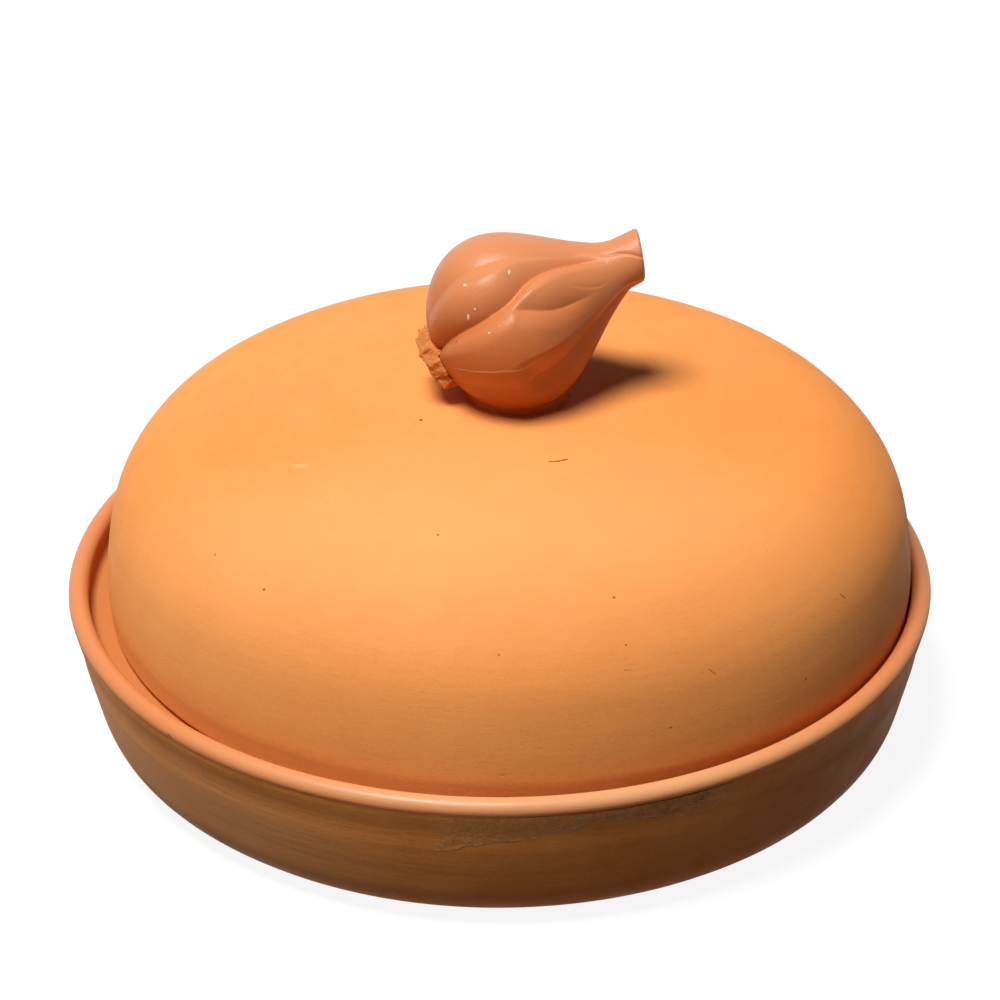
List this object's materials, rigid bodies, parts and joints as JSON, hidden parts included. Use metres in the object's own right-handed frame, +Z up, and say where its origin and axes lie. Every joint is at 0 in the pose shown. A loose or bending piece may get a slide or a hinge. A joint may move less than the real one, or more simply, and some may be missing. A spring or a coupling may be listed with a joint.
{
  "type": "garlic roaster",
  "caption": "Round unglazed terracotta baking dish with an inner ledge, and a domed lid that lifts off by a knob shaped as a garlic bulb lying on its side.",
  "frame": {"origin": "middle of the dish's flat base, on the surface that it stands on", "axes": "+Z up, +X towards the side that the knob's stem points to, -Y towards the front"},
  "size_m": [0.195, 0.195, 0.1173],
  "materials": {
    "dish_terracotta": "unglazed fired terracotta, matt, with throwing lines and a smoothed rim",
    "lid_terracotta": "unglazed fired terracotta, matt, sponged smooth, with fine grain and small specks",
    "knob_terracotta": "unglazed pressed terracotta, slightly burnished over the cloves",
    "root_terracotta": "unglazed terracotta, rough and crumbly",
    "slip_terracotta": "fired clay slip, matt"
  },
  "bodies": {
    "dish": {"dish": "dish_terracotta"},
    "lid": {"lid": "lid_terracotta", "knob_bulb": "knob_terracotta", "knob_root_plate": "root_terracotta", "knob_slip_pad": "slip_terracotta"}
  },
  "joints": [
    {"name": "lid_lift", "type": "slide", "parent": "dish", "child": "lid", "axis": [0, 0, 1], "range_m": [0, 0.12]}
  ]
}
